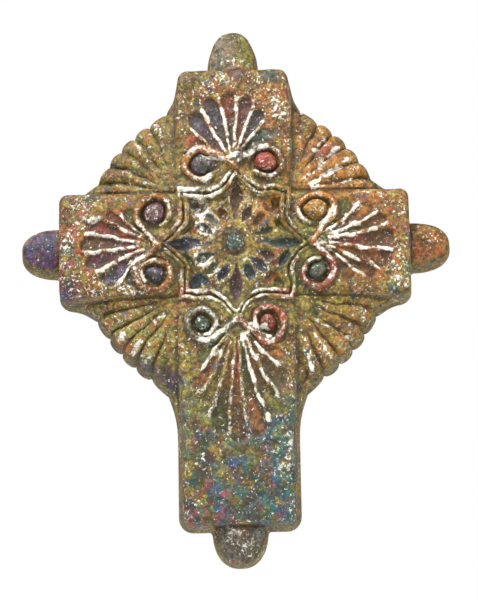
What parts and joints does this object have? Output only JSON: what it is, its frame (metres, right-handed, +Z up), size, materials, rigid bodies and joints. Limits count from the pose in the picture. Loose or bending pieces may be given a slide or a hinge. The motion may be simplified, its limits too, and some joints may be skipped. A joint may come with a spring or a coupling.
{
  "type": "ceramic wall cross",
  "caption": "Wall-hung ceramic cross with knobbed arms, a longer foot, a ring of scallop fans and carved volutes, palmettes and rosette.",
  "frame": {"origin": "on the flat back, where the axes of the four arms cross, at the wall", "axes": "+X to the viewer's right along the side arms, +Y into the wall, +Z up along the top arm; the carved front faces -Y"},
  "size_m": [0.202, 0.0286, 0.254],
  "materials": {
    "lustre_glaze": "glossy glaze in olive gold, mottled with orange, red, magenta, navy and teal, with pale cream worn ridges and white specks"
  },
  "bodies": {
    "root": {"ceramic_cross": "lustre_glaze"}
  },
  "joints": []
}
